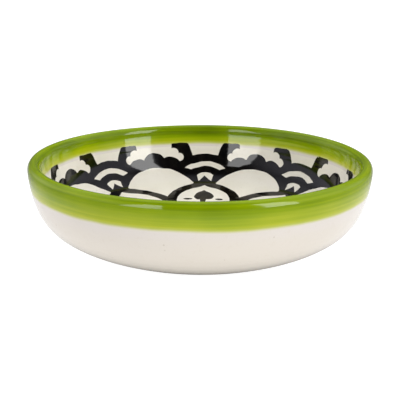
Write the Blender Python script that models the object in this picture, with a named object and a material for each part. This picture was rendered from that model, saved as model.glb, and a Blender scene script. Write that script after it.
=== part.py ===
"""Deep coupe plate of painted, glazed earthenware, built up in its real layers.

A thrown clay body with a turned foot carries a cream glaze inside and out, a
brushed green band that laps over the lip, and a black painted arcade of eight
motifs with a leaf and two dabs in each.  Every layer is its own closed solid,
held a fraction of a millimetre off the one below it.

Frame: +Z up, origin at the centre of the foot on the table.  Motif 1 points
along +Y, and the drawing repeats every 45 degrees.
"""
import math

import bmesh
import bpy
import numpy as np
from mathutils import Vector
from mathutils.geometry import delaunay_2d_cdt

MM = 0.001

# ---------------------------------------------------------------- dimensions
# All in millimetres; the finished surface is the glazed one.
RIM_RADIUS = 100.0        # outer edge of the lip
HEIGHT = 50.7             # table to the top of the lip
LIP_THICKNESS = 7.1       # across the lip
LIP_SHOULDER = 46.6       # height where both walls run into the rounded lip
FLOOR_HEIGHT = 5.9        # glazed floor at the centre
FOOT_OUTER = 62.4         # outer edge of the resting ring
FOOT_INNER = 54.0         # inner edge of the resting ring
FOOT_WELL = 1.9           # depth of the turned well inside the foot
BARE_FOOT = 0.6           # height of bare clay under the outer glaze

GLAZE = 0.5               # thickness of a glaze coat
GAP = 0.3                 # space kept between touching layers
PAINT = 0.4               # thickness of the painted drawing
PAINT_LIFT = 0.4          # drawing above the inner glaze

BAND_INSIDE = 107.8       # girth from the centre to the band's inner edge
BAND_OUTSIDE = 36.3       # height of the band's edge on the outer wall

SEGMENTS = 56             # round the axis
PROFILE_TOL = 0.13        # how far a flat may stray from the true profile

MOTIFS = 8
PITCH = 360.0 / MOTIFS
REF_RADIUS = 90.0         # the drawing's widths are measured at this radius

# The inner wall, from the centre of the floor to the lip: radius, height.
INNER_STATIONS = [(0.0, FLOOR_HEIGHT), (25.0, 6.3), (45.0, 7.6), (60.0, 10.1),
                  (70.0, 12.4), (75.0, 13.8), (80.0, 16.0), (84.0, 19.2),
                  (87.0, 22.8), (89.58, 28.8), (91.33, 36.6), (91.98, 40.2),
                  (92.65, 44.1),
                  (RIM_RADIUS - LIP_THICKNESS, LIP_SHOULDER)]
# The outer wall, from the lip down to the foot.
OUTER_STATIONS = [(RIM_RADIUS, LIP_SHOULDER), (99.3, 39.5), (97.7, 31.5),
                  (94.9, 23.4), (90.2, 15.9), (82.4, 9.3), (71.8, 3.8),
                  (FOOT_OUTER, 0.0)]

# Colours: linear red, green, blue.
CLAY = (0.62, 0.47, 0.33)
CREAM = (0.78, 0.71, 0.61)
GREEN = (0.22, 0.33, 0.01)
BLACK = (0.012, 0.011, 0.010)


# ------------------------------------------------------------------- profile
def spline(points, start, end, per_span=24):
    """Cubic spline through points by chord length, with unit end tangents."""
    p = np.array(points, float)
    h = np.hypot(*np.diff(p, axis=0).T)
    n = len(p)
    a = np.zeros((n, n))
    b = np.zeros((n, 2))
    a[0, 0] = a[-1, -1] = 1.0
    b[0], b[-1] = start, end
    for i in range(1, n - 1):
        a[i, i - 1], a[i, i], a[i, i + 1] = h[i], 2 * (h[i - 1] + h[i]), h[i - 1]
        b[i] = 3 * (h[i] * (p[i] - p[i - 1]) / h[i - 1] + h[i - 1] * (p[i + 1] - p[i]) / h[i])
    m = np.linalg.solve(a, b)
    out = []
    for i in range(n - 1):
        for k in range(per_span):
            t = k / per_span
            h00, h10 = 2 * t**3 - 3 * t**2 + 1, t**3 - 2 * t**2 + t
            h01, h11 = -2 * t**3 + 3 * t**2, t**3 - t**2
            out.append(h00 * p[i] + h10 * h[i] * m[i] + h01 * p[i + 1] + h11 * h[i] * m[i + 1])
    out.append(p[-1])
    return np.array(out)


def lip_arc(count=48):
    """The rounded lip, from the inner wall over the top to the outer wall."""
    half = LIP_THICKNESS / 2
    rise = HEIGHT - LIP_SHOULDER
    out = []
    for k in range(count + 1):
        a = math.pi * (1 - k / count)
        out.append((RIM_RADIUS - half + half * math.cos(a), LIP_SHOULDER + rise * math.sin(a)))
    return np.array(out)


def finished_profile():
    """Glazed surface from the centre of the floor, over the lip, to the foot."""
    inner = spline(INNER_STATIONS, (1, 0), (0, 1))
    outer = spline(OUTER_STATIONS, (0, -1), (-0.93, -0.37))
    return np.vstack([inner[:-1], lip_arc(), outer[1:]])


PROFILE = finished_profile()
GIRTH = np.concatenate([[0.0], np.cumsum(np.hypot(*np.diff(PROFILE, axis=0).T))])
TANGENT = np.gradient(PROFILE, GIRTH, axis=0)
# The normal points out of the ware: up from the floor, outward at the wall.
NORMAL = np.stack([-TANGENT[:, 1], TANGENT[:, 0]], 1)
NORMAL /= np.linalg.norm(NORMAL, axis=1)[:, None]
NORMAL[0] = (0.0, 1.0)


def surface(girth, lift=0.0):
    """Radius and height of a point at a girth, lifted along the normal."""
    r = np.interp(girth, GIRTH, PROFILE[:, 0]) + lift * np.interp(girth, GIRTH, NORMAL[:, 0])
    z = np.interp(girth, GIRTH, PROFILE[:, 1]) + lift * np.interp(girth, GIRTH, NORMAL[:, 1])
    return r, z


def stations(start, end, tol=PROFILE_TOL):
    """Girths from start to end, as few as keep each flat within tol."""
    dense = np.linspace(start, end, 400)
    fixed = [GIRTH[int(np.argmax(PROFILE[:, k]))] for k in (0, 1)]   # widest and highest
    dense = np.union1d(dense, [g for g in fixed if start < g < end])
    pts = np.stack(surface(dense), 1)
    keep = [0]
    i = 0
    while i < len(dense) - 1:
        j = i + 1
        while j < len(dense) - 1:
            if dense[j] in fixed:
                break
            d = pts[j + 1] - pts[i]
            off = pts[i + 1:j + 1] - pts[i]
            stray = np.abs(off[:, 0] * d[1] - off[:, 1] * d[0]) / np.hypot(*d)
            if stray.max() > tol:
                break
            j += 1
        keep.append(j)
        i = j
    return dense[keep]


# ---------------------------------------------------------------- mesh makers
def material(name, colour, roughness):
    mat = bpy.data.materials.new(name)
    mat.use_nodes = True
    bsdf = mat.node_tree.nodes["Principled BSDF"]
    bsdf.inputs["Base Color"].default_value = (*colour, 1.0)
    bsdf.inputs["Roughness"].default_value = roughness
    bsdf.inputs["Metallic"].default_value = 0.0
    mat.diffuse_color = (*colour, 1.0)
    return mat


def finish(name, bm, mat, sharp=40.0):
    bmesh.ops.recalc_face_normals(bm, faces=bm.faces)
    mesh = bpy.data.meshes.new(name)
    bm.to_mesh(mesh)
    bm.free()
    mesh.materials.append(mat)
    mesh.shade_smooth()
    mesh.set_sharp_from_angle(angle=math.radians(sharp))
    obj = bpy.data.objects.new(name, mesh)
    bpy.context.scene.collection.objects.link(obj)
    obj.parent = ROOT
    return obj


def turned(name, outline, mat, closed):
    """Spin an (r, z) outline about the axis; open outlines end on the axis."""
    bm = bmesh.new()
    verts = [bm.verts.new((r * MM, 0.0, z * MM)) for r, z in outline]
    edges = [bm.edges.new(pair) for pair in zip(verts, verts[1:])]
    if closed:
        edges.append(bm.edges.new((verts[-1], verts[0])))
    bmesh.ops.spin(bm, geom=verts + edges, cent=(0, 0, 0), axis=(0, 0, 1), dvec=(0, 0, 0),
                   angle=math.tau, steps=SEGMENTS, use_merge=True, use_duplicate=False)
    bmesh.ops.remove_doubles(bm, verts=bm.verts, dist=1e-6)
    bmesh.ops.dissolve_degenerate(bm, edges=bm.edges, dist=1e-7)
    return finish(name, bm, mat)


def coat(name, start, end, mat):
    """A coat of even thickness on the finished surface, between two girths."""
    g = stations(start, end)
    upper = np.stack(surface(g), 1)
    lower = np.stack(surface(g, -GLAZE), 1)
    on_axis = start <= 0.0
    if on_axis:
        upper[0, 0] = lower[0, 0] = 0.0
    outline = list(map(tuple, upper)) + list(map(tuple, lower[::-1]))
    return turned(name, outline, mat, closed=not on_axis)


def place(turn, girth, lift):
    """World position on the inner surface; turn 0 is +Y, degrees clockwise."""
    r, z = surface(girth, lift)
    a = math.radians(90.0 - turn)
    return Vector((r * math.cos(a), r * math.sin(a), z)) * MM


def film(name, points, faces, mat):
    """A painted film: points are (turn, girth), faces index them."""
    bm = bmesh.new()
    low = [bm.verts.new(place(t, g, PAINT_LIFT)) for t, g in points]
    top = [bm.verts.new(place(t, g, PAINT_LIFT + PAINT)) for t, g in points]
    count = {}
    for face in faces:
        bm.faces.new([top[i] for i in face])
        bm.faces.new([low[i] for i in reversed(face)])
        for i, j in zip(face, face[1:] + face[:1]):
            count[(i, j)] = count.get((i, j), 0) + 1
    for i, j in list(count):
        if (j, i) not in count:
            bm.faces.new([top[j], top[i], low[i], low[j]])
    return finish(name, bm, mat, sharp=30.0)


# ------------------------------------------------------------- drawing tools
# A drawing point is (x, g): x is the width from the motif's axis measured at
# REF_RADIUS, and g the girth from the centre of the plate.
def to_turn(x):
    return math.degrees(x / REF_RADIUS)


HALF = math.radians(PITCH / 2) * REF_RADIUS      # half a motif's width


def line(p, q, step=4.0):
    """Points from p towards q, without q."""
    n = max(1, round(math.dist(p, q) / step))
    return [(p[0] + (q[0] - p[0]) * k / n, p[1] + (q[1] - p[1]) * k / n) for k in range(n)]


def arc(p, via, q, step=2.0):
    """Points of the circle through p, via and q, without q."""
    (ax, ay), (bx, by), (cx, cy) = p, via, q
    d = 2 * (ax * (by - cy) + bx * (cy - ay) + cx * (ay - by))
    ux = ((ax**2 + ay**2) * (by - cy) + (bx**2 + by**2) * (cy - ay) + (cx**2 + cy**2) * (ay - by)) / d
    uy = ((ax**2 + ay**2) * (cx - bx) + (bx**2 + by**2) * (ax - cx) + (cx**2 + cy**2) * (bx - ax)) / d
    rad = math.hypot(ax - ux, ay - uy)
    a0, a1, a2 = (math.atan2(y - uy, x - ux) for x, y in (p, via, q))
    span = (a2 - a0) % math.tau
    if (a1 - a0) % math.tau > span:
        span -= math.tau
    n = max(2, round(abs(span) * rad / step))
    return [(ux + rad * math.cos(a0 + span * k / n), uy + rad * math.sin(a0 + span * k / n))
            for k in range(n)]


# Key heights along the motif's axis and along the axis between two motifs.
POST_TOP = 108.3
ARCH_TOP = 100.7
ARC_OUTER, ARC_INNER = 95.6, 92.2
HOUSE_TOP = 87.2
OGEE_OUTER, OGEE_INNER = 84.8, 75.6
CAP_TOP, PETAL_TOP, PETAL_TIP = 102.1, 91.6, 61.7
RING_OUTER, RING_INNER = 31.0, 25.0


def half_motif():
    """Outline of the black arcade from a motif's axis to its neighbour's."""
    pts = []
    # the outer arch, up the post and along its top
    pts += arc((0, ARCH_TOP), (4.3, 100.4), (8.5, 99.6), 3.0)
    pts += arc((8.5, 99.6), (10.2, 104.2), (12.3, POST_TOP), 3.0)
    pts += line((12.3, POST_TOP), (23.0, POST_TOP))
    # down the post's outer side: a tooth and two round bites
    pts += line((23.0, POST_TOP), (23.3, 104.7))
    pts += arc((23.3, 104.7), (20.6, 104.9), (18.3, 101.4), 1.8)
    pts += arc((18.3, 101.4), (14.9, 98.6), (17.6, 95.8), 1.8)
    # the cap over the petal: a low bump, then half of the tall one
    pts += arc((17.6, 95.8), (24.0, 99.0), (28.2, 98.0), 2.6)
    pts += arc((28.2, 98.0), (31.0, 101.0), (HALF, CAP_TOP), 2.6)
    pts += line((HALF, CAP_TOP), (HALF, PETAL_TOP))
    # round the petal to its tip
    pts += arc((HALF, PETAL_TOP), (20.0, 88.1), (8.7, 78.3), 4.2)
    pts += line((8.7, 78.3), (9.2, 77.2))
    pts += arc((9.2, 77.2), (22.0, 71.8), (HALF, PETAL_TIP), 4.5)
    # down to the ring round the middle and back up the ogee's inner edge
    pts += line((HALF, PETAL_TIP), (HALF, RING_INNER), 7.0)
    pts += line((HALF, RING_INNER), (0, RING_INNER), 8.0)
    pts += line((0, RING_INNER), (0, RING_OUTER))
    pts += line((0, RING_OUTER), (30.6, RING_OUTER), 8.0)
    pts += arc((30.6, RING_OUTER), (31.3, 44.0), (28.2, 56.0), 5.0)
    pts += arc((28.2, 56.0), (20.0, 65.4), (8.0, 71.5), 4.5)
    pts += arc((8.0, 71.5), (3.6, 73.3), (0, OGEE_INNER), 3.0)
    # the ogee's point standing in the small house
    pts += line((0, OGEE_INNER), (0, OGEE_OUTER))
    pts += line((0, OGEE_OUTER), (4.7, 80.2))
    pts += line((4.7, 80.2), (6.0, 85.2))
    pts += arc((6.0, 85.2), (3.2, 86.8), (0, HOUSE_TOP), 2.0)
    # the inner arch and the cream arc above it
    pts += line((0, HOUSE_TOP), (0, ARC_INNER))
    pts += arc((0, ARC_INNER), (5.6, 91.3), (10.0, 89.4), 3.4)
    pts += line((10.0, 89.4), (14.3, 90.9))
    pts += arc((14.3, 90.9), (8.0, 94.1), (0, ARC_OUTER), 3.6)
    pts += line((0, ARC_OUTER), (0, ARCH_TOP))
    return pts


def flat(x, g):
    """Drawing point to the flat plane that the mesh is laid out in."""
    a = math.radians(90.0 - to_turn(x))
    return Vector((g * math.cos(a), g * math.sin(a)))


def fill(outline, extra=()):
    """Triangles of an outline and its inner points, as (turn, girth) points."""
    rim = [flat(x, g) for x, g in outline]
    edges = [(i, (i + 1) % len(rim)) for i in range(len(rim))]
    out = delaunay_2d_cdt(rim + list(extra), edges, [], 0, 1e-7)
    verts, kept = out[0], []
    for face in out[2]:
        a, b, c = (verts[i] for i in face)
        if abs((b - a).cross(c - a)) > 1e-3 and inside((a + b + c) / 3, rim):
            kept.append(list(face))
    return [(90.0 - math.degrees(math.atan2(v.y, v.x)), v.length) for v in verts], kept


def triangulate(outline, spacing):
    """Triangles of an outline, with inner points every spacing or so."""
    rim = [flat(x, g) for x, g in outline]
    extra = []
    g = RING_INNER + spacing * 0.6
    while g < POST_TOP:
        n = int(HALF * g / REF_RADIUS / spacing)
        for k in range(1, n):
            x = HALF * k / n
            p = flat(x, g)
            if inside(p, rim) and min((p - q).length for q in rim) > spacing * 0.55:
                extra.append(p)
        g += spacing * 0.9
    return fill(outline, extra)


def inside(p, poly):
    hit = False
    for i, a in enumerate(poly):
        b = poly[i - 1]
        if (a.y > p.y) != (b.y > p.y) and p.x < (b.x - a.x) * (p.y - a.y) / (b.y - a.y) + a.x:
            hit = not hit
    return hit


def arcade(mat):
    """Eight motifs, each a half and its mirror image, welded into one film."""
    half_pts, half_faces = triangulate(half_motif(), 7.5)
    points, faces, index = [], [], {}
    for k in range(MOTIFS):
        for side in (1, -1):
            ids = []
            for t, g in half_pts:
                turn = (side * t + k * PITCH) % 360.0
                key = (round(turn, 3) % 360.0, round(g, 3))
                if key not in index:
                    index[key] = len(points)
                    points.append((turn, g))
                ids.append(index[key])
            for face in half_faces:
                loop = [ids[i] for i in face]
                faces.append(loop if side > 0 else loop[::-1])
    return film("arcade", points, faces, mat)


def island(name, outline, turn, mat):
    """A small separate patch of paint, filled from its outline."""
    points, faces = fill(outline)
    return film(name, [(t + turn, g) for t, g in points], faces, mat)


def leaf_outline():
    """A spade-shaped leaf on a short stem, pointing at the rim."""
    side = line((0, 68.4), (2.2, 66.9))
    side += arc((2.2, 66.9), (7.8, 63.4), (10.0, 60.0), 2.5)
    side += arc((10.0, 60.0), (8.3, 57.0), (3.2, 55.6), 2.5)
    side += line((3.2, 55.6), (1.9, 46.0), 5.0)
    return side + [(0, 45.2)] + [(-x, g) for x, g in side[:0:-1]]


def dab_outline(x, g, half_width, half_height):
    return [(x + half_width * math.cos(math.tau * k / 12), g + half_height * math.sin(math.tau * k / 12))
            for k in range(12)]


def rosette(mat):
    """Eight-petalled flower in the middle of the floor."""
    n = MOTIFS * 6
    points, faces = [(0.0, 0.0)], []
    for ring in (0.5, 1.0):
        for k in range(n):
            turn = 360.0 * k / n
            points.append((turn, ring * (11.5 + 5.5 * math.cos(math.radians(MOTIFS * turn)))))
    for k in range(n):
        j = (k + 1) % n
        faces.append([0, 1 + j, 1 + k])
        faces.append([1 + k, 1 + j, 1 + n + j, 1 + n + k])
    return film("centre_rosette", points, faces, mat)


# ---------------------------------------------------------------- the pieces
def clay_body(mat):
    """The thrown body: everything under the glaze, and the bare foot."""
    skin = GLAZE + GAP
    end = GIRTH[-1]
    g = stations(0.0, end - 2.0)
    body = np.stack(surface(g, -skin), 1)
    body[0, 0] = 0.0
    body = [tuple(p) for p in body if p[1] > BARE_FOOT + 0.8 or p[0] < RIM_RADIUS * 0.55]
    outline = body + [
        (FOOT_OUTER + 0.3, BARE_FOOT), (FOOT_OUTER, 0.45), (FOOT_OUTER - 0.7, 0.0),
        (FOOT_INNER + 0.6, 0.0), (FOOT_INNER, 0.5), (FOOT_INNER - 0.6, FOOT_WELL + GLAZE + GAP),
        (0.0, FOOT_WELL + GLAZE + GAP)]
    return turned("clay_body", outline, mat, closed=False)


def foot_well_glaze(mat):
    """Glaze in the turned well, kept clear of the ring that the ware rests on."""
    edge = FOOT_INNER - 1.6
    outline = [(0.0, FOOT_WELL), (edge - 0.6, FOOT_WELL), (edge, FOOT_WELL + 0.2),
               (edge, FOOT_WELL + GLAZE), (0.0, FOOT_WELL + GLAZE)]
    return turned("foot_well_glaze", outline, mat, closed=False)


def girth_at_height(height):
    """Girth of the outer wall at a height."""
    shoulder = int(np.argmax(PROFILE[:, 1]))
    return float(np.interp(-height, -PROFILE[shoulder:, 1], GIRTH[shoulder:]))


def build():
    clay = material("bare_clay", CLAY, 0.75)
    cream_in = material("cream_glaze_inside", CREAM, 0.12)
    cream_out = material("cream_glaze_outside", CREAM, 0.12)
    cream_foot = material("cream_glaze_foot", CREAM, 0.15)
    green = material("green_band", GREEN, 0.12)
    black = material("black_drawing", BLACK, 0.15)

    band_end = girth_at_height(BAND_OUTSIDE)
    glaze_end = girth_at_height(BARE_FOOT + 0.3)
    clay_body(clay)
    coat("inner_glaze", 0.0, BAND_INSIDE - GAP / 2, cream_in)
    coat("rim_band", BAND_INSIDE + GAP / 2, band_end - GAP / 2, green)
    coat("outer_glaze", band_end + GAP / 2, glaze_end, cream_out)
    foot_well_glaze(cream_foot)

    arcade(black)
    rosette(material("black_rosette", BLACK, 0.15))
    leaf_mat = material("black_leaf", BLACK, 0.15)
    dab_mat = material("black_dab", BLACK, 0.15)
    leaf = leaf_outline()
    for k in range(MOTIFS):
        turn = k * PITCH
        island(f"leaf_{k + 1}", leaf, turn, leaf_mat)
        for tag, side in (("a", -1), ("b", 1)):
            dab = dab_outline(side * 16.3, 56.7, 4.2, 1.2)
            island(f"dab_{k + 1}{tag}", dab, turn, dab_mat)


for old in list(bpy.data.objects):
    bpy.data.objects.remove(old, do_unlink=True)
ROOT = bpy.data.objects.new("plate_origin", None)
bpy.context.scene.collection.objects.link(ROOT)
build()
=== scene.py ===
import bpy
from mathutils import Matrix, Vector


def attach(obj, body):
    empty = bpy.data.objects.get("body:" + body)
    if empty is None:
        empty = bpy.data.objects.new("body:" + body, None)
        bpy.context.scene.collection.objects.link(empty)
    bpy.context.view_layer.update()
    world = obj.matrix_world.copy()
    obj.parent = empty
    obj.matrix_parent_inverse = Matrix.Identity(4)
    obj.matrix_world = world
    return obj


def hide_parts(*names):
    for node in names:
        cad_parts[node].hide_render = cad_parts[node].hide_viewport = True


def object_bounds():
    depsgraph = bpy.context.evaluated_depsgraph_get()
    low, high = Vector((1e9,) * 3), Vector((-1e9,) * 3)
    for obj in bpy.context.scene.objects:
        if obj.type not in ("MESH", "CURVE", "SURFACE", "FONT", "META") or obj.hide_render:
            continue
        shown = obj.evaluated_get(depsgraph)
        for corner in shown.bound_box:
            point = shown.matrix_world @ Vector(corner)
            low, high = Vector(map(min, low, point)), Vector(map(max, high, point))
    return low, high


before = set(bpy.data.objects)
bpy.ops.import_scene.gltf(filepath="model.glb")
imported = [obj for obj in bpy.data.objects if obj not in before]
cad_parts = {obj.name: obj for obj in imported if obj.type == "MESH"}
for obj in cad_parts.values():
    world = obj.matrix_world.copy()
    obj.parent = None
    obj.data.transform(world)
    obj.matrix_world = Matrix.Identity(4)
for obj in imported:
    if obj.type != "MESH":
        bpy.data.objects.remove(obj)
CAD_BOX = [[float(x) for x in corner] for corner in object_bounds()]

# A deep coupe plate in cream, green and black glaze.  Every visible layer is
# rebuilt here as a fine mesh on one shared surface, and stands in for the CAD
# solid that it hides.  All lengths below are millimetres until a vertex is
# made.
import math

import bpy
import numpy as np
from mathutils import Quaternion, Vector
from mathutils.geometry import delaunay_2d_cdt

MM = 0.001
RIM = CAD_BOX[1][0] / MM            # outer radius of the lip
TOP = CAD_BOX[1][2] / MM            # height of the lip
LIP = 7.1
SHOULDER = 46.6
FLOOR = 5.9
FOOT_OUTER, FOOT_INNER, FOOT_WELL, BARE = 62.4, 54.0, 1.9, 0.6
BAND_INSIDE = 107.8
BAND_OUTSIDE = 35.8
MOTIFS = 8
PITCH = 360.0 / MOTIFS
REF = 90.0
HALF = math.radians(PITCH / 2) * REF
ROUND = 400                          # steps round the axis

INNER = [(0.0, FLOOR), (25.0, 6.3), (45.0, 7.6), (60.0, 10.1), (70.0, 12.4), (75.0, 13.8),
         (80.0, 16.0), (84.0, 19.2), (87.0, 22.8), (89.58, 28.8), (91.33, 36.6), (91.98, 40.2),
         (92.65, 44.1), (RIM - LIP, SHOULDER)]
OUTER = [(RIM, SHOULDER), (99.3, 39.5), (97.7, 31.5), (94.9, 23.4), (90.2, 15.9), (82.4, 9.3),
         (71.8, 3.8), (FOOT_OUTER, 0.0)]


# ------------------------------------------------------------------- profile
def spline(points, start, end, per_span=40):
    p = np.array(points, float)
    h = np.hypot(*np.diff(p, axis=0).T)
    n = len(p)
    a = np.zeros((n, n))
    b = np.zeros((n, 2))
    a[0, 0] = a[-1, -1] = 1.0
    b[0], b[-1] = start, end
    for i in range(1, n - 1):
        a[i, i - 1], a[i, i], a[i, i + 1] = h[i], 2 * (h[i - 1] + h[i]), h[i - 1]
        b[i] = 3 * (h[i] * (p[i] - p[i - 1]) / h[i - 1] + h[i - 1] * (p[i + 1] - p[i]) / h[i])
    m = np.linalg.solve(a, b)
    t = (np.arange(per_span) / per_span)[:, None]
    out = [(2 * t**3 - 3 * t**2 + 1) * p[i] + (t**3 - 2 * t**2 + t) * h[i] * m[i]
           + (3 * t**2 - 2 * t**3) * p[i + 1] + (t**3 - t**2) * h[i] * m[i + 1] for i in range(n - 1)]
    return np.vstack(out + [p[-1:]])


def make_profile():
    half, rise = LIP / 2, TOP - SHOULDER
    a = math.pi * (1 - np.arange(121) / 120)
    lip = np.stack([RIM - half + half * np.cos(a), SHOULDER + rise * np.sin(a)], 1)
    return np.vstack([spline(INNER, (1, 0), (0, 1))[:-1], lip, spline(OUTER, (0, -1), (-0.93, -0.37))[1:]])


PROFILE = make_profile()
GIRTH = np.concatenate([[0.0], np.cumsum(np.hypot(*np.diff(PROFILE, axis=0).T))])
TAN = np.gradient(PROFILE, GIRTH, axis=0)
NOR = np.stack([-TAN[:, 1], TAN[:, 0]], 1)
NOR /= np.linalg.norm(NOR, axis=1)[:, None]
NOR[0] = (0.0, 1.0)
G_TOP = float(GIRTH[int(np.argmax(PROFILE[:, 1]))])
G_WIDE = float(GIRTH[int(np.argmax(PROFILE[:, 0]))])


def girth_at(height):
    k = int(np.argmax(PROFILE[:, 1]))
    return float(np.interp(-height, -PROFILE[k:, 1], GIRTH[k:]))


BAND_START, BAND_END = BAND_INSIDE, girth_at(BAND_OUTSIDE)


def surf(g, th, lift=0.0):
    """Points in mm on the finished surface; g girth, th angle from +X.
    A thrown pot is never quite round: the wall leans in by up to a quarter of
    a millimetre here and there, and faint throwing rings spiral up it."""
    g, th = np.broadcast_arrays(np.asarray(g, float), np.asarray(th, float))
    ring = 0.011 * np.sin(2 * np.pi * g / 4.6 + th) + 0.007 * np.sin(2 * np.pi * g / 2.9 - th + 1.3)
    ring *= np.clip((g - 6.0) / 20.0, 0, 1) * (0.7 + 0.3 * np.sin(g / 9.0 + 2 * th))
    lift = lift + ring - 0.02
    r = np.interp(g, GIRTH, PROFILE[:, 0]) + lift * np.interp(g, GIRTH, NOR[:, 0])
    z = np.interp(g, GIRTH, PROFILE[:, 1]) + lift * np.interp(g, GIRTH, NOR[:, 1])
    up = np.clip(z / TOP, 0, 1)
    r = r * (1 - up * (0.0005 * (1 + np.cos(2 * th + 0.7)) + 0.0003 * (1 + np.cos(3 * th + 2.1))))
    dip = np.exp(-((np.mod(th - 1.95 + math.pi, math.tau) - math.pi) / 0.55) ** 2)
    z = z - up**3 * (0.62 * dip + 0.05 * (1 + np.sin(2 * th + 0.4)) + 0.03 * (1 + np.sin(5 * th + 1.2)))
    return np.stack([r * np.cos(th), r * np.sin(th), z], -1)


def surf_normal(g, th):
    e = 0.05
    g, th = np.broadcast_arrays(np.asarray(g, float), np.asarray(th, float))
    a = surf(g + e, th) - surf(np.maximum(g - e, 0.0), th)
    r = np.maximum(np.interp(g, GIRTH, PROFILE[:, 0]), 1.0)
    b = surf(g, th + e / r) - surf(g, th - e / r)
    n = np.cross(a, b)
    n /= np.maximum(np.linalg.norm(n, axis=-1), 1e-12)[..., None]
    n[g < 0.5] = (0, 0, 1)
    return n


# ------------------------------------------------------------------- meshes
def new_object(name, verts, faces, mat, attributes=(), smooth=True, normals=None):
    mesh = bpy.data.meshes.new(name)
    mesh.from_pydata([tuple(v) for v in (np.asarray(verts) * MM)], [], faces)
    mesh.validate(clean_customdata=False)
    for label, values in attributes:
        layer = mesh.attributes.new(label, "FLOAT", "POINT")
        layer.data.foreach_set("value", np.asarray(values, np.float32))
    mesh.materials.append(mat)
    if smooth:
        mesh.shade_smooth()
        mesh.set_sharp_from_angle(angle=math.radians(50))
    if normals is not None:
        mesh.normals_split_custom_set_from_vertices([tuple(n) for n in normals])
    mesh.update()
    obj = bpy.data.objects.new(name, mesh)
    bpy.context.scene.collection.objects.link(obj)
    return obj


def skin(name, g, lifts, depth, mat, attributes=None):
    """A closed turned skin: its outer face follows surf at girths g, and its
    back lies depth below.  g starting at 0 closes on the axis."""
    th = np.arange(ROUND) * 2 * np.pi / ROUND
    rows = []
    pole = g[0] <= 0.0
    gg = g[1:] if pole else g
    ll = lifts[1:] if pole else lifts
    top = surf(gg[:, None], th[None], ll[:, None])
    low = surf(gg[:, None], th[None], ll[:, None] - depth)
    loop = np.concatenate([top, low[::-1]])           # up the face, back along the underside
    n = len(loop)
    verts = loop.reshape(-1, 3)
    faces = []
    count = n - 1 if pole else n
    for i in range(count):
        a, b = i * ROUND, ((i + 1) % n) * ROUND
        for j in range(ROUND):
            k = (j + 1) % ROUND
            faces.append((a + j, b + j, b + k, a + k))
    gl = np.concatenate([gg, gg[::-1]])
    girths = np.repeat(gl, ROUND)
    if pole:
        verts = np.vstack([verts, surf(0.0, 0.0, lifts[0])[None], surf(0.0, 0.0, lifts[0] - depth)[None]])
        t, b = len(verts) - 2, len(verts) - 1
        last = (n - 1) * ROUND
        for j in range(ROUND):
            k = (j + 1) % ROUND
            faces.append((t, j, k))
            faces.append((b, last + k, last + j))
        girths = np.concatenate([girths, [0.0, 0.0]])
    extra = [("girth", girths)]
    if attributes:
        extra += [(label, fn(girths)) for label, fn in attributes]
    # the loop order gives inward faces where the girth runs outward
    obj = new_object(name, verts, faces, mat, extra)
    make_outward(obj)
    return obj


def turned(name, outline, mat, steps=ROUND):
    """A closed body of revolution from an (r, z) outline that starts and ends
    on the axis."""
    th = np.arange(steps) * 2 * np.pi / steps
    inner = outline[1:-1]
    verts = [(r * math.cos(t), r * math.sin(t), z) for r, z in inner for t in th]
    verts += [(0, 0, outline[0][1]), (0, 0, outline[-1][1])]
    faces = []
    for i in range(len(inner) - 1):
        a, b = i * steps, (i + 1) * steps
        for j in range(steps):
            k = (j + 1) % steps
            faces.append((a + j, b + j, b + k, a + k))
    t, b = len(verts) - 2, len(verts) - 1
    last = (len(inner) - 1) * steps
    for j in range(steps):
        k = (j + 1) % steps
        faces.append((t, j, k))
        faces.append((b, last + k, last + j))
    obj = new_object(name, verts, faces, mat)
    make_outward(obj)
    return obj


def make_outward(obj):
    """Flip a closed mesh whose faces point in."""
    mesh = obj.data
    mesh.calc_loop_triangles()
    co = np.zeros(len(mesh.vertices) * 3)
    mesh.vertices.foreach_get("co", co)
    co = co.reshape(-1, 3)
    tri = np.zeros(len(mesh.loop_triangles) * 3, int)
    mesh.loop_triangles.foreach_get("vertices", tri)
    a, b, c = (co[tri.reshape(-1, 3)[:, i]] for i in range(3))
    if np.einsum("ij,ij->i", a, np.cross(b, c)).sum() < 0:
        mesh.flip_normals()


# ------------------------------------------------------------------- drawing
def to_turn(x):
    return math.degrees(x / REF)


def line(p, q, step=0.9):
    n = max(1, round(math.dist(p, q) / step))
    return [(p[0] + (q[0] - p[0]) * k / n, p[1] + (q[1] - p[1]) * k / n) for k in range(n)]


def arc(p, via, q, step=0.7):
    (ax, ay), (bx, by), (cx, cy) = p, via, q
    d = 2 * (ax * (by - cy) + bx * (cy - ay) + cx * (ay - by))
    ux = ((ax**2 + ay**2) * (by - cy) + (bx**2 + by**2) * (cy - ay) + (cx**2 + cy**2) * (ay - by)) / d
    uy = ((ax**2 + ay**2) * (cx - bx) + (bx**2 + by**2) * (ax - cx) + (cx**2 + cy**2) * (bx - ax)) / d
    rad = math.hypot(ax - ux, ay - uy)
    a0, a1, a2 = (math.atan2(y - uy, x - ux) for x, y in (p, via, q))
    span = (a2 - a0) % math.tau
    if (a1 - a0) % math.tau > span:
        span -= math.tau
    n = max(2, round(abs(span) * rad / step))
    return [(ux + rad * math.cos(a0 + span * k / n), uy + rad * math.sin(a0 + span * k / n)) for k in range(n)]


POST_TOP = 108.3
ARCH_TOP = 100.7
ARC_OUTER, ARC_INNER = 95.6, 92.2
HOUSE_TOP = 87.2
OGEE_OUTER, OGEE_INNER = 84.8, 75.6
CAP_TOP, PETAL_TOP, PETAL_TIP = 102.1, 91.6, 61.7
RING_OUTER, RING_INNER = 31.0, 25.0


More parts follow.
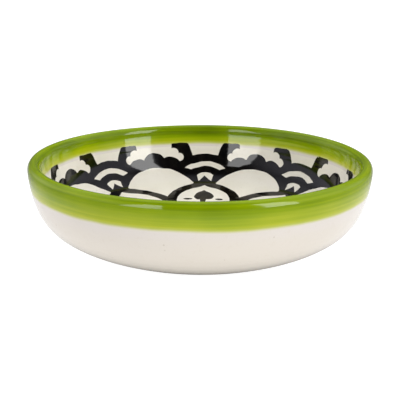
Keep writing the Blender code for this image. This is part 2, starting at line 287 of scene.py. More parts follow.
def half_motif():
    pts = []
    pts += arc((0, ARCH_TOP), (4.3, 100.4), (8.5, 99.6))
    pts += arc((8.5, 99.6), (10.2, 104.2), (12.3, POST_TOP))
    pts += line((12.3, POST_TOP), (23.0, POST_TOP))
    pts += line((23.0, POST_TOP), (23.3, 104.7))
    pts += arc((23.3, 104.7), (20.6, 104.9), (18.3, 101.4), 0.5)
    pts += arc((18.3, 101.4), (14.9, 98.6), (17.6, 95.8), 0.5)
    pts += arc((17.6, 95.8), (24.0, 99.0), (28.2, 98.0))
    pts += arc((28.2, 98.0), (31.0, 101.0), (HALF, CAP_TOP))
    pts += line((HALF, CAP_TOP), (HALF, PETAL_TOP))
    pts += arc((HALF, PETAL_TOP), (20.0, 88.1), (8.7, 78.3))
    pts += line((8.7, 78.3), (9.2, 77.2))
    pts += arc((9.2, 77.2), (22.0, 71.8), (HALF, PETAL_TIP))
    pts += line((HALF, PETAL_TIP), (HALF, RING_INNER), 1.6)
    pts += line((HALF, RING_INNER), (0, RING_INNER), 2.4)
    pts += line((0, RING_INNER), (0, RING_OUTER))
    pts += line((0, RING_OUTER), (30.6, RING_OUTER), 2.4)
    pts += arc((30.6, RING_OUTER), (31.3, 44.0), (28.2, 56.0), 1.2)
    pts += arc((28.2, 56.0), (20.0, 65.4), (8.0, 71.5))
    pts += arc((8.0, 71.5), (3.6, 73.3), (0, OGEE_INNER))
    pts += line((0, OGEE_INNER), (0, OGEE_OUTER))
    pts += line((0, OGEE_OUTER), (4.7, 80.2))
    pts += line((4.7, 80.2), (6.0, 85.2))
    pts += arc((6.0, 85.2), (3.2, 86.8), (0, HOUSE_TOP), 0.5)
    pts += line((0, HOUSE_TOP), (0, ARC_INNER))
    pts += arc((0, ARC_INNER), (5.6, 91.3), (10.0, 89.4))
    pts += line((10.0, 89.4), (14.3, 90.9))
    pts += arc((14.3, 90.9), (8.0, 94.1), (0, ARC_OUTER))
    pts += line((0, ARC_OUTER), (0, ARCH_TOP))
    return pts


def flat(x, g):
    a = math.radians(90.0 - to_turn(x))
    return Vector((g * math.cos(a), g * math.sin(a)))


def inside(p, poly):
    hit = False
    for i, a in enumerate(poly):
        b = poly[i - 1]
        if (a.y > p.y) != (b.y > p.y) and p.x < (b.x - a.x) * (p.y - a.y) / (b.y - a.y) + a.x:
            hit = not hit
    return hit


def fill(outline, spacing, low, high):
    """Triangles of an outline with inner points, as plane points."""
    rim = [flat(x, g) for x, g in outline]
    ring = np.array(rim)
    xs = [x for x, g in outline]
    extra = []
    g, odd = low, 0
    while g < high:
        n = max(1, int((max(xs) - min(xs)) * g / REF / spacing))
        for k in range(n + 1):
            x = min(xs) + (max(xs) - min(xs)) * (k + 0.5 * odd) / n
            p = flat(x, g)
            if np.hypot(*(ring - np.array(p)).T).min() > spacing * 0.5 and inside(p, rim):
                extra.append(p)
        g += spacing * 0.87
        odd = 1 - odd
    edges = [(i, (i + 1) % len(rim)) for i in range(len(rim))]
    out = delaunay_2d_cdt(rim + extra, edges, [], 0, 1e-7)
    verts, kept = out[0], []
    for face in out[2]:
        a, b, c = (verts[i] for i in face)
        longest = max((b - a).length, (c - b).length, (a - c).length)
        if abs((b - a).cross(c - a)) > 0.004 * longest and inside((a + b + c) / 3, rim):
            kept.append(tuple(face))
    pts = np.array([(v.x, v.y) for v in verts])
    return pts, kept, ring


HAND = np.random.RandomState(11)
WAVES = [(HAND.uniform(0, math.tau), math.tau / HAND.uniform(5.0, 26.0), HAND.uniform(0, math.tau), HAND.uniform(0, math.tau))
         for _ in range(14)]


def hand_drawn(p, amount=1.0):
    """The painter's hand: a smooth wander of up to a third of a millimetre."""
    x, y = p[:, 0], p[:, 1]
    d = np.zeros_like(p)
    for a, k, f1, f2 in WAVES:
        s = (x * math.cos(a) + y * math.sin(a)) * k
        d[:, 0] += np.sin(s + f1)
        d[:, 1] += np.sin(s + f2)
    return p + amount * 0.055 * d


def film(name, plane, faces, edge, mat, rise=0.045, brim=0.018, back=0.06, seed=0.0):
    """A closed painted film from plane points (polar: angle and girth); its
    face rises from brim at the outline to rise inside."""
    g = np.hypot(plane[:, 0], plane[:, 1])
    th = np.arctan2(plane[:, 1], plane[:, 0])
    soft = np.clip(edge / 0.6, 0, 1)
    soft = soft * soft * (3 - 2 * soft)
    top = surf(g, th, brim + (rise - brim) * soft)
    low = surf(g, th, -back)
    n = len(plane)
    quads = {}
    for face in faces:
        for i, j in zip(face, face[1:] + face[:1]):
            quads[(i, j)] = True
    walls = [(j, i, i + n, j + n) for i, j in quads if (j, i) not in quads]
    allf = list(faces) + [tuple(i + n for i in reversed(f)) for f in faces] + walls
    nor = surf_normal(g, th)
    obj = new_object(name, np.vstack([top, low]), allf, mat,
                     [("edge", np.concatenate([edge, edge])), ("girth", np.concatenate([g, g]))],
                     smooth=False)
    make_outward(obj)
    mesh = obj.data
    mesh.shade_smooth()
    # the face shades as the surface beneath it, so a reflection runs on unbroken
    flat_n = np.zeros(len(mesh.polygons) * 3)
    mesh.polygons.foreach_get("normal", flat_n)
    flat_n = flat_n.reshape(-1, 3)
    verts = np.zeros(len(mesh.loops), int)
    mesh.loops.foreach_get("vertex_index", verts)
    custom = np.zeros((len(mesh.loops), 3))
    for poly in mesh.polygons:
        span = slice(poly.loop_start, poly.loop_start + poly.loop_total)
        v = verts[span]
        if (v < n).all():
            custom[span] = nor[v]
        elif (v >= n).all():
            custom[span] = -nor[v - n]
        else:
            custom[span] = flat_n[poly.index]
    mesh.normals_split_custom_set([tuple(c) for c in custom])
    return obj


def weld_motifs():
    """Eight hand-drawn motifs, each a half and its mirror image."""
    pts, faces, ring = fill(half_motif(), 1.7, RING_INNER + 1.0, POST_TOP)
    # distance to the outline, without the two lines where the halves join
    keep = []
    limit = math.radians(90.0 - PITCH / 2)
    for p in ring:
        a = math.atan2(p[1], p[0])
        if abs(a - math.pi / 2) > 1e-5 and abs(a - limit) > 1e-5:
            keep.append(p)
    keep = np.array(keep)
    edge = np.array([np.hypot(*(keep - p).T).min() for p in pts])
    a = np.arctan2(pts[:, 1], pts[:, 0])
    turn, g = 90.0 - np.degrees(a), np.hypot(pts[:, 0], pts[:, 1])
    plane, tris, dist, index = [], [], [], {}
    for k in range(MOTIFS):
        for side in (1, -1):
            ids = []
            for t, gg, e in zip(turn, g, edge):
                at = (side * t + k * PITCH) % 360.0
                key = (round(at, 3) % 360.0, round(gg, 3))
                if key not in index:
                    index[key] = len(plane)
                    b = math.radians(90.0 - at)
                    plane.append((gg * math.cos(b), gg * math.sin(b)))
                    dist.append(e)
                ids.append(index[key])
            for f in faces:
                loop = tuple(ids[i] for i in f)
                tris.append(loop if side > 0 else loop[::-1])
    return np.array(plane), tris, np.array(dist)


def island(name, outline, turn, mat, spacing=1.1, amount=1.0, **kw):
    gs = [g for x, g in outline]
    pts, faces, ring = fill(outline, spacing, min(gs) + spacing * 0.6, max(gs))
    edge = np.array([np.hypot(*(ring - p).T).min() for p in pts])
    c, s = math.cos(math.radians(-turn)), math.sin(math.radians(-turn))
    pts = pts @ np.array([[c, s], [-s, c]])
    return film(name, hand_drawn(pts, amount), faces, edge, mat, **kw)


def leaf_outline():
    side = line((0, 68.4), (2.2, 66.9), 0.7)
    side += arc((2.2, 66.9), (7.8, 63.4), (10.0, 60.0), 0.7)
    side += arc((10.0, 60.0), (8.3, 57.0), (3.2, 55.6), 0.7)
    side += line((3.2, 55.6), (1.9, 46.0), 1.0)
    return side + [(0, 45.2)] + [(-x, g) for x, g in side[:0:-1]]


def dab_outline(x, g, half_width, half_height, n=28):
    return [(x + half_width * math.cos(math.tau * k / n), g + half_height * math.sin(math.tau * k / n)) for k in range(n)]


# ----------------------------------------------------------------- materials
class Nodes:
    """Small helper that adds and links shader nodes."""

    def __init__(self, name):
        self.mat = bpy.data.materials.new(name)
        self.mat.use_nodes = True
        self.tree = self.mat.node_tree
        self.bsdf = self.tree.nodes["Principled BSDF"]
        self.coord = self.add("ShaderNodeTexCoord").outputs["Object"]

    def add(self, kind, **props):
        node = self.tree.nodes.new(kind)
        for k, v in props.items():
            setattr(node, k, v)
        return node

    def link(self, a, b):
        self.tree.links.new(a, b)

    def math(self, op, a, b=None, clamp=False):
        node = self.add("ShaderNodeMath", operation=op, use_clamp=clamp)
        for i, v in enumerate((a, b)):
            if v is None:
                continue
            if hasattr(v, "links"):
                self.link(v, node.inputs[i])
            else:
                node.inputs[i].default_value = v
        return node.outputs[0]

    def scaled(self, sx, sy, sz):
        node = self.add("ShaderNodeMapping")
        node.inputs["Scale"].default_value = (sx, sy, sz)
        self.link(self.coord, node.inputs["Vector"])
        return node.outputs[0]

    def noise(self, vector, scale, detail=3.0, rough=0.55, distortion=0.0, w=None):
        node = self.add("ShaderNodeTexNoise", noise_dimensions="4D" if w is not None else "3D")
        self.link(vector, node.inputs["Vector"])
        node.inputs["Scale"].default_value = scale
        node.inputs["Detail"].default_value = detail
        node.inputs["Roughness"].default_value = rough
        node.inputs["Distortion"].default_value = distortion
        if w is not None:
            if hasattr(w, "links"):
                self.link(w, node.inputs["W"])
            else:
                node.inputs["W"].default_value = w
        return node.outputs["Fac"]

    def attribute(self, name):
        return self.add("ShaderNodeAttribute", attribute_name=name).outputs["Fac"]

    def ramp(self, fac, stops, interpolation="LINEAR"):
        node = self.add("ShaderNodeValToRGB")
        node.color_ramp.interpolation = interpolation
        el = node.color_ramp.elements
        while len(el) > 1:
            el.remove(el[0])
        for i, (pos, col) in enumerate(stops):
            e = el[0] if i == 0 else el.new(pos)
            e.position = pos
            e.color = (*col, 1.0)
        self.link(fac, node.inputs[0])
        return node.outputs[0]

    def map(self, value, lo, hi, a=0.0, b=1.0, smooth=True):
        node = self.add("ShaderNodeMapRange", interpolation_type="SMOOTHSTEP" if smooth else "LINEAR")
        self.link(value, node.inputs["Value"])
        node.inputs["From Min"].default_value = lo
        node.inputs["From Max"].default_value = hi
        node.inputs["To Min"].default_value = a
        node.inputs["To Max"].default_value = b
        return node.outputs["Result"]

    def mix(self, fac, a, b, blend="MIX"):
        node = self.add("ShaderNodeMix", data_type="RGBA", blend_type=blend)
        for sock, v in ((node.inputs[0], fac), (node.inputs[6], a), (node.inputs[7], b)):
            if hasattr(v, "links"):
                self.link(v, sock)
            elif isinstance(v, (int, float)):
                sock.default_value = v
            else:
                sock.default_value = (*v, 1.0)
        return node.outputs[2]

    def bump(self, height, strength, distance_mm, base=None):
        node = self.add("ShaderNodeBump")
        node.inputs["Strength"].default_value = strength
        node.inputs["Distance"].default_value = distance_mm * MM
        self.link(height, node.inputs["Height"])
        if base is not None:
            self.link(base, node.inputs["Normal"])
        return node.outputs["Normal"]


def cream_colour(n, inside):
    """Cream tin glaze, its tone varying at random in clouds and flecks.  Outside it is painted darker and browner down
    towards the foot, a painted shade where the wall turns under.
    """
    g = n.attribute("girth")
    cloud = n.noise(n.coord, 26.0, 3.0, 0.5)
    fine = n.noise(n.coord, 420.0, 2.0, 0.5)
    if inside:
        base = n.ramp(n.map(cloud, 0.32, 0.68), [(0.0, (0.855, 0.812, 0.708)), (1.0, (0.900, 0.860, 0.765))])
    else:
        # outside: painted shade, the cream darkens and browns towards the foot where the wall turns under towards the
        # table
        base = n.ramp(n.map(g, BAND_END, BAND_END + 52.0, smooth=False),
                      [(0.0, (0.785, 0.732, 0.690)), (0.16, (0.765, 0.710, 0.635)), (0.55, (0.742, 0.682, 0.592)),
                       (0.85, (0.712, 0.652, 0.545)), (1.0, (0.670, 0.602, 0.480))])
        base = n.mix(n.map(cloud, 0.35, 0.7, 0.0, 0.30), base, (0.745, 0.685, 0.590))
    base = n.mix(n.map(fine, 0.55, 0.75, 0.0, 0.10), base, (0.62, 0.54, 0.42))
    # iron specks in the clay showing through, few and small
    speck = n.add("ShaderNodeTexVoronoi", feature="F1")
    n.link(n.coord, speck.inputs["Vector"])
    speck.inputs["Scale"].default_value = 210.0
    where = n.math("MULTIPLY", n.map(speck.outputs["Distance"], 0.05, 0.14, 1.0, 0.0),
                   n.math("GREATER_THAN", n.noise(n.coord, 90.0, 0.0, 0.5), 0.66))
    return n.mix(n.math("MULTIPLY", where, 0.28), base, (0.30, 0.21, 0.12))


def gloss(n, wave=1.0, roughness=(0.045, 0.10)):
    """Clear gloss: the fired surface rolls a little, like still water."""
    roll = n.noise(n.coord, 95.0, 1.0, 0.4)
    peel = n.noise(n.coord, 520.0, 2.0, 0.5)
    pits = n.add("ShaderNodeTexVoronoi", feature="F1")
    n.link(n.coord, pits.inputs["Vector"])
    pits.inputs["Scale"].default_value = 330.0
    pit = n.math("MULTIPLY", n.map(pits.outputs["Distance"], 0.0, 0.16, 1.0, 0.0),
                 n.math("GREATER_THAN", n.noise(n.coord, 140.0, 0.0, 0.5), 0.70))
    normal = n.bump(roll, 0.5, 0.12 * wave)
    normal = n.bump(peel, 0.35, 0.012 * wave, normal)
    normal = n.bump(n.math("MULTIPLY", pit, -1.0), 0.4, 0.03, normal)
    n.link(normal, n.bsdf.inputs["Normal"])
    n.link(n.map(n.noise(n.coord, 60.0, 2.0, 0.5), 0.3, 0.7, roughness[0], roughness[1]), n.bsdf.inputs["Roughness"])
    n.bsdf.inputs["IOR"].default_value = 1.5


def cream_glaze(name, inside):
    n = Nodes(name)
    n.link(cream_colour(n, inside), n.bsdf.inputs["Base Color"])
    gloss(n)
    return n.mat


def green_glaze():
    """Green brushed round the lip in overlapping strokes.  depth is how thick
    it lies: thin is yellow and lets the cream through, thick is deep olive.
    It is also lowered towards the left and right sides, a painted sheen."""
    n = Nodes("green_band_glaze")
    g = n.attribute("girth")
    sep = n.add("ShaderNodeSeparateXYZ")
    n.link(n.coord, sep.inputs[0])
    x, y, z = sep.outputs
    r = n.math("SQRT", n.math("ADD", n.math("MULTIPLY", x, x), n.math("MULTIPLY", y, y)))
    comb = n.add("ShaderNodeCombineXYZ")
    n.link(n.math("DIVIDE", x, r), comb.inputs[0])
    n.link(n.math("DIVIDE", y, r), comb.inputs[1])
    n.link(n.math("MULTIPLY", g, 0.62), comb.inputs[2])
    around = comb.outputs[0]                   # long round the rim, tight across it
    broad = n.noise(around, 1.15, 2.0, 0.5)
    comb2 = n.add("ShaderNodeCombineXYZ")
    n.link(n.math("MULTIPLY", n.math("DIVIDE", x, r), 2.2), comb2.inputs[0])
    n.link(n.math("MULTIPLY", n.math("DIVIDE", y, r), 2.2), comb2.inputs[1])
    n.link(n.math("MULTIPLY", g, 1.9), comb2.inputs[2])
    hairs = n.noise(comb2.outputs[0], 1.5, 3.0, 0.6)
    patch = n.noise(n.coord, 34.0, 2.0, 0.5)
    # distance in mm from the nearer edge of the band, wandering a little
    wander = n.math("MULTIPLY", n.math("SUBTRACT", n.noise(n.coord, 27.0, 2.0, 0.5), 0.5), 2.2)
    from_in = n.math("SUBTRACT", g, BAND_START)
    from_out = n.math("SUBTRACT", BAND_END, g)
    edge = n.math("ADD", n.math("MINIMUM", from_in, from_out), wander)
    # it lies thickest just inside the lip, thinner over and outside it
    inner = n.map(n.math("ADD", from_in, wander), 0.0, 9.5, 0.10, 0.95)
    outer = n.map(n.math("ADD", from_out, wander), 0.0, 11.0, 0.10, 0.62, smooth=False)
    outer = n.math("ADD", outer, n.map(from_out, 16.0, 21.0, 0.0, 0.26))
    depth = n.math("MINIMUM", inner, outer)
    # painted sheen: the green is made lighter towards the left and right sides of the view
    across = n.math("DIVIDE", x, r)
    depth = n.math("SUBTRACT", depth, n.math("MULTIPLY", n.math("MULTIPLY", across, across), 0.15))
    depth = n.math("ADD", depth, n.math("MULTIPLY", n.math("SUBTRACT", broad, 0.5), 0.60))
    depth = n.math("ADD", depth, n.math("MULTIPLY", n.math("SUBTRACT", hairs, 0.5), 0.15))
    depth = n.math("ADD", depth, n.math("MULTIPLY", n.math("SUBTRACT", patch, 0.5), 0.44), clamp=True)
    green = n.ramp(depth, [(0.0, (0.480, 0.525, 0.016)), (0.25, (0.365, 0.450, 0.005)), (0.5, (0.258, 0.368, 0.0010)),
                           (0.75, (0.172, 0.265, 0.0003)), (1.0, (0.100, 0.163, 0.0001))])
    cream = cream_colour(n, False)
    fade = n.map(edge, -1.3, 0.9)
    fringe = n.mix(fade, cream, (0.560, 0.590, 0.120))
    colour = n.mix(n.map(edge, -0.2, 2.2), fringe, green)
    n.link(colour, n.bsdf.inputs["Base Color"])
    gloss(n, 1.2)
    n.bsdf.inputs["IOR"].default_value = 1.44
    return n.mat


def black_paint(name, thin):
    """Black brushed on under the gloss; thin > 0 lets the ground through in
    brown streaks, as where the brush runs out of colour."""
    n = Nodes(name)
    g = n.attribute("girth")
    e = n.attribute("edge")
    streak = n.noise(n.scaled(1.0, 1.0, 0.4), 340.0, 3.0, 0.6)
    cloud = n.noise(n.coord, 120.0, 2.0, 0.5)
    floorward = n.map(g, 86.0, 70.0, 0.0, 1.0)
    amount = n.math("MULTIPLY", n.math("ADD", n.math("MULTIPLY", floorward, 0.75), 0.25), thin)
    see = n.math("MULTIPLY", n.map(n.math("ADD", n.math("MULTIPLY", streak, 0.6), n.math("MULTIPLY", cloud, 0.4)), 0.40, 0.72), amount)
    rim = n.map(e, 0.0, 0.45, 0.55, 0.0)
    see = n.math("MAXIMUM", see, n.math("MULTIPLY", rim, n.map(cloud, 0.3, 0.7, 0.3, 1.0)))
    colour = n.mix(see, (0.0019, 0.0016, 0.0017), (0.046, 0.039, 0.023))
    n.link(colour, n.bsdf.inputs["Base Color"])
    gloss(n)
    n.link(n.map(g, 74.0, 58.0, 0.5, 0.14), n.bsdf.inputs["Specular IOR Level"])   # duller where the coat is worn thin
    return n.mat


def bare_clay():
    n = Nodes("bare_fired_clay")
    grain = n.noise(n.coord, 900.0, 4.0, 0.65)
    cloud = n.noise(n.coord, 60.0, 3.0, 0.6)
    colour = n.ramp(n.map(cloud, 0.3, 0.7), [(0.0, (0.50, 0.365, 0.245)), (0.5, (0.60, 0.455, 0.320)), (1.0, (0.68, 0.545, 0.400))])
    colour = n.mix(n.map(grain, 0.35, 0.65, 0.30, 0.0), colour, (0.30, 0.20, 0.13))
    n.link(colour, n.bsdf.inputs["Base Color"])
    rings = n.add("ShaderNodeTexWave", wave_type="RINGS", rings_direction="Z")
    n.link(n.coord, rings.inputs["Vector"])
    rings.inputs["Scale"].default_value = 260.0
    rings.inputs["Distortion"].default_value = 1.5
    normal = n.bump(rings.outputs["Fac"], 0.35, 0.05)
    normal = n.bump(grain, 0.6, 0.08, normal)
    n.link(normal, n.bsdf.inputs["Normal"])
    n.link(n.map(grain, 0.3, 0.7, 0.72, 0.90), n.bsdf.inputs["Roughness"])
    return n.mat


# -------------------------------------------------------------------- pieces
CREAM_IN = cream_glaze("cream_glaze_inside", True)
CREAM_OUT = cream_glaze("cream_glaze_outside", False)
GREEN = green_glaze()
BLACK = black_paint("black_brushwork", 0.55)
BLACK_SOFT = black_paint("black_brushwork_thin", 0.8)
CLAY = bare_clay()

GLAZE_END = girth_at(BARE + 0.3)


def steps(start, end, size=0.8):
    return np.linspace(start, end, max(2, int(round((end - start) / size)) + 1))


def dress(obj, slot, *nodes):
    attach(obj, "root")
    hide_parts(*nodes)
    return obj


g_in = steps(0.0, BAND_START + 1.0)
dress(skin("inner_glaze_coat", g_in, np.zeros_like(g_in), 0.4, CREAM_IN), "cream_glaze", "inner_glaze")

g_out = steps(BAND_END - 1.0, GLAZE_END)
roll = np.clip((GLAZE_END - g_out) / 0.9, 0, 1)          # the coat ends in a thin rolled edge
dress(skin("outer_glaze_coat", g_out, -0.25 * (1 - np.sqrt(1 - (1 - roll)**2 + 1e-9)), 0.4, CREAM_OUT), "cream_glaze", "outer_glaze")

g_band = np.union1d(steps(BAND_START - 1.9, BAND_END + 1.9, 0.55), [G_TOP, G_WIDE])
d = np.minimum(g_band - g_band[0], g_band[-1] - g_band)
swell = np.clip(d / 3.0, 0, 1)
dress(skin("green_rim_band", g_band, 0.012 + 0.008 * swell * swell * (3 - 2 * swell), 0.35, GREEN), "green_glaze", "rim_band")

# the thrown body under the coats, with its turned foot
foot = [(FOOT_OUTER + 1.6, 1.05), (FOOT_OUTER + 0.5, 0.62), (FOOT_OUTER, 0.36), (FOOT_OUTER - 0.35, 0.10),
        (FOOT_OUTER - 0.9, 0.0), (58.0, 0.0), (FOOT_INNER + 0.9, 0.0), (FOOT_INNER + 0.3, 0.12),
        (FOOT_INNER, 0.5), (FOOT_INNER - 0.3, 1.2), (FOOT_INNER - 0.8, FOOT_WELL + 0.1),
        (FOOT_INNER - 1.8, FOOT_WELL + 0.35), (30.0, FOOT_WELL + 0.4)]


def thrown_body():
    th = np.arange(ROUND) * 2 * np.pi / ROUND
    g = steps(0.0, girth_at(2.2), 1.0)[1:]
    rows = [surf(np.full(ROUND, x), th, -0.33) for x in g]
    rows += [np.stack([r * np.cos(th), r * np.sin(th), np.full(ROUND, z)], 1) for r, z in foot]
    verts = np.vstack(rows + [[(0, 0, FLOOR - 0.35)], [(0, 0, FOOT_WELL + 0.4)]])
    faces = []
    for i in range(len(rows) - 1):
        a, b = i * ROUND, (i + 1) * ROUND
        for j in range(ROUND):
            k = (j + 1) % ROUND
            faces.append((a + j, b + j, b + k, a + k))
    t, b, last = len(verts) - 2, len(verts) - 1, (len(rows) - 1) * ROUND
    for j in range(ROUND):
        k = (j + 1) % ROUND
        faces.append((t, j, k))
        faces.append((b, last + k, last + j))
    obj = new_object("fired_clay_body", verts, faces, CLAY)
    make_outward(obj)
    return obj


dress(thrown_body(), "bare_clay", "clay_body")

edge = FOOT_INNER - 1.9
well = [(0.0, FOOT_WELL), (18.0, FOOT_WELL), (36.0, FOOT_WELL), (edge - 2.0, FOOT_WELL), (edge - 0.8, FOOT_WELL + 0.03),
        (edge - 0.2, FOOT_WELL + 0.12), (edge, FOOT_WELL + 0.3), (edge, FOOT_WELL + 0.5), (0.0, FOOT_WELL + 0.5)]
well_obj = turned("foot_well_coat", well, CREAM_IN)
layer = well_obj.data.attributes.new("girth", "FLOAT", "POINT")
layer.data.foreach_set("value", np.hypot(*np.array([v.co[:2] for v in well_obj.data.vertices]).T).astype(np.float32) / MM)
dress(well_obj, "cream_glaze", "foot_well_glaze")

# the drawing
plane, tris, dist = weld_motifs()
dress(film("arcade_drawing", hand_drawn(plane), tris, dist, BLACK), "black_paint", "arcade")

n = MOTIFS * 24
flower = []
for k in range(n):
    a = 2 * math.pi * k / n
    rad = 11.5 + 5.5 * math.cos(MOTIFS * a)
    flower.append(rad * np.array([math.cos(a), math.sin(a)]))
flower = np.array(flower)
pts, faces = [(0.0, 0.0)], []
for f in (0.25, 0.5, 0.75, 0.93, 1.0):
    pts += [tuple(f * p) for p in flower]
for k in range(n):
    j = (k + 1) % n
    faces.append((0, 1 + k, 1 + j))
    for ring in range(4):
        a, b = 1 + ring * n, 1 + (ring + 1) * n
        faces.append((a + k, b + k, b + j, a + j))
pts = np.array(pts)
near = np.array([np.hypot(*(flower - p).T).min() for p in pts])
dress(film("centre_rosette_drawing", hand_drawn(pts), faces, near, BLACK), "black_paint", "centre_rosette")

leaf = leaf_outline()
for k in range(MOTIFS):
    dress(island(f"leaf_{k + 1}_drawing", leaf, k * PITCH, BLACK_SOFT), "black_paint", f"leaf_{k + 1}")
    for tag, side in (("a", -1), ("b", 1)):
        dab = dab_outline(side * 16.3, 56.7, 4.2, 1.2)
        dress(island(f"dab_{k + 1}{tag}_drawing", dab, k * PITCH, BLACK, spacing=0.8), "black_paint", f"dab_{k + 1}{tag}")


# --------------------------------------------------------------------- stage
# The view is turned 2.33 degrees from the drawing's own axes.
VIEW_TURN = math.radians(2.33)
SCALE = RIM * MM


def view_point(x, y, z):
    c, s = math.cos(VIEW_TURN), math.sin(VIEW_TURN)
    return Vector((x * c - y * s, x * s + y * c, z))


def pale_floor():
    """White table.  It is lit by the panels, and glows so that it stays white to
    the camera.  To other rays its glow is strongest in a ring round the plate,
    a painted glow that lights the plate from below as a lamp would; under the
    plate, where no light gets in, the glow dies away, a painted shade."""
    mesh = bpy.data.meshes.new("floor")
    rings = [0.0, 0.05, 0.075, 0.1, 0.15, 0.25, 0.5, 1.2, 3.0, 9.0]
    verts, faces, m = [(0, 0, 0)], [], 96
    for r in rings[1:]:
        verts += [(r * math.cos(a), r * math.sin(a), 0.0) for a in np.arange(m) * math.tau / m]
    for k in range(m):
        faces.append((0, 1 + k, 1 + (k + 1) % m))
        for i in range(len(rings) - 2):
            p, q = 1 + i * m, 1 + (i + 1) * m
            faces.append((p + k, q + k, q + (k + 1) % m, p + (k + 1) % m))
    mesh.from_pydata(verts, [], faces)
    n = Nodes("floor_white")
    length = n.add("ShaderNodeVectorMath", operation="LENGTH")
    n.link(n.coord, length.inputs[0])
    r = length.outputs["Value"]
    n.bsdf.inputs["Base Color"].default_value = (0.28, 0.28, 0.28, 1)
    n.bsdf.inputs["Roughness"].default_value = 0.9
    n.bsdf.inputs["Specular IOR Level"].default_value = 0.0
    n.bsdf.inputs["Emission Color"].default_value = (1, 1, 1, 1)
    ray = n.add("ShaderNodeLightPath").outputs["Is Camera Ray"]
    # painted shade: near blacks out the glow under the plate; painted glow: the next line is a ring round the plate
    # that lights it from below, dimmed under the plate
    near = n.map(r, 0.050, 0.0634)
    painted_glow_round_plate = n.math("MULTIPLY", n.map(r, 0.125, 0.235, 0.78, 0.05), n.map(r, 0.060, 0.102, 0.16, 1.0))
    seen = n.math("MULTIPLY", n.math("ADD", n.math("MULTIPLY", ray, n.math("SUBTRACT", 0.97, painted_glow_round_plate)), painted_glow_round_plate), near)
    n.link(seen, n.bsdf.inputs["Emission Strength"])
    mesh.materials.append(n.mat)
    floor = bpy.data.objects.new("floor", mesh)
    floor.location.z = -0.0002
    bpy.context.scene.collection.objects.link(floor)


pale_floor()


def glowing_panel(name, verts, radiance):
    mesh = bpy.data.meshes.new(name)
    mesh.from_pydata(verts, [], [tuple(range(len(verts)))])
    mat = bpy.data.materials.new(name)
    mat.use_nodes = True
    tree = mat.node_tree
    tree.nodes.clear()
    out = tree.nodes.new("ShaderNodeOutputMaterial")
    glow = tree.nodes.new("ShaderNodeEmission")
    glow.inputs["Strength"].default_value = radiance
    tree.links.new(glow.outputs[0], out.inputs[0])
    mesh.materials.append(mat)
    obj = bpy.data.objects.new(name, mesh)
    obj.visible_camera = False
    bpy.context.scene.collection.objects.link(obj)
    return obj


def softbox(name, corners, distance, radiance):
    """Its corners are given by their directions as seen from the plate:
    azimuth, elevation in degrees."""
    verts = []
    for az, el in corners:
        a = math.radians(az)
        verts.append(view_point(distance * math.cos(a), distance * math.sin(a), distance * math.tan(math.radians(el)) + 0.04))
    return glowing_panel(name, verts, radiance)


softbox("softbox_right", [(-50.0, -1.0), (-27.5, -1.0), (-28.5, 48.0), (-50.0, 48.0)], 1.6, 5.8)
softbox("softbox_left", [(-140.0, -1.0), (-112.0, -1.0), (-116.0, 41.0), (-127.5, 41.0)], 1.6, 4.6)
# light bounced off the ceiling: it fills the bowl but leaves no highlight
ceiling = glowing_panel("ceiling_bounce", [view_point(-1.7, -0.15, 1.2), view_point(1.7, -0.15, 1.2),
                                           view_point(1.7, 1.8, 1.2), view_point(-1.7, 1.8, 1.2)], 1.8)
ceiling.visible_glossy = False

OVERHEAD = 0.42
FILL_LEFT = 0.66
FILL_RIGHT = 0.60
world = bpy.data.worlds.new("studio")
bpy.context.scene.world = world
world.use_nodes = True
wt = world.node_tree
wt.nodes.clear()
out = wt.nodes.new("ShaderNodeOutputWorld")
mixer = wt.nodes.new("ShaderNodeMixShader")
path = wt.nodes.new("ShaderNodeLightPath")
seen = wt.nodes.new("ShaderNodeBackground")
seen.inputs["Color"].default_value = (1, 1, 1, 1)
seen.inputs["Strength"].default_value = 1.0
lit = wt.nodes.new("ShaderNodeBackground")
coord = wt.nodes.new("ShaderNodeTexCoord")
sepw = wt.nodes.new("ShaderNodeSeparateXYZ")
wt.links.new(coord.outputs["Generated"], sepw.inputs[0])


def world_step(value, low, high, to):
    node = wt.nodes.new("ShaderNodeMapRange")
    node.interpolation_type = "SMOOTHSTEP"
    wt.links.new(value, node.inputs["Value"])
    node.inputs["From Min"].default_value, node.inputs["From Max"].default_value = low, high
    node.inputs["To Max"].default_value = to
    return node.outputs["Result"]


def world_math(op, a, b):
    node = wt.nodes.new("ShaderNodeMath")
    node.operation = op
    for i, v in enumerate((a, b)):
        if isinstance(v, float):
            node.inputs[i].default_value = v
        else:
            wt.links.new(v, node.inputs[i])
    return node.outputs[0]


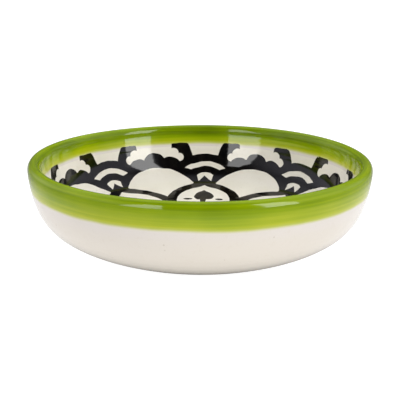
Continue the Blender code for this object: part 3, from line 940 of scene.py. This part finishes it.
# the room is dark on the camera's side; a wide overhead panel lies above and
# behind the plate, and the left wall gives a soft fill
wx, wy, wz = sepw.outputs
overhead = world_math("MULTIPLY", world_step(wz, 0.45, 0.68, 1.0), world_step(wy, -0.28, 0.06, OVERHEAD))
fill_left = world_math("MULTIPLY", world_step(wx, -0.45, -0.90, 1.0), world_step(wz, -0.02, 0.10, FILL_LEFT))
fill_right = world_math("MULTIPLY", world_step(wx, 0.50, 0.88, 1.0), world_step(wz, -0.02, 0.10, FILL_RIGHT))
fill_left = world_math("MAXIMUM", fill_left, fill_right)
behind = world_step(wy, 0.1, 0.7, 0.05)
total = world_math("ADD", world_math("ADD", world_math("MAXIMUM", overhead, fill_left), behind), 0.03)
rgb = wt.nodes.new("ShaderNodeCombineColor")
for i, tint in enumerate((0.98, 0.96, 1.10)):           # a cool room
    wt.links.new(world_math("MULTIPLY", total, tint), rgb.inputs[i])
wt.links.new(rgb.outputs[0], lit.inputs["Color"])
lit.inputs["Strength"].default_value = 1.0
wt.links.new(path.outputs["Is Camera Ray"], mixer.inputs[0])
wt.links.new(lit.outputs[0], mixer.inputs[1])
wt.links.new(seen.outputs[0], mixer.inputs[2])
wt.links.new(mixer.outputs[0], out.inputs[0])
bpy.context.scene.view_settings.view_transform = "Standard"

# camera: a long lens about 57 cm away, 15.65 degrees above the table
ELEVATION = math.radians(15.65)
DISTANCE = 5.71 * SCALE
FOCAL_PX = 964.0
target = Vector((0, 0, 0.2536 * SCALE))
cam_at = view_point(0.0, -DISTANCE * math.cos(ELEVATION), target.z + DISTANCE * math.sin(ELEVATION))
cam_data = bpy.data.cameras.new("camera")
cam_data.sensor_width = 36.0
cam_data.lens = FOCAL_PX / 400.0 * 36.0
cam_data.clip_start, cam_data.clip_end = 0.01, 50.0
cam_data.shift_x, cam_data.shift_y = 0.10 / 400.0, -1.73 / 400.0
camera = bpy.data.objects.new("camera", cam_data)
camera.location = cam_at
quat = (target - cam_at).to_track_quat("-Z", "Y")
camera.rotation_mode = "QUATERNION"
camera.rotation_quaternion = quat @ Quaternion((0, 0, 1), math.radians(0.342))
bpy.context.scene.collection.objects.link(camera)
bpy.context.scene.camera = camera
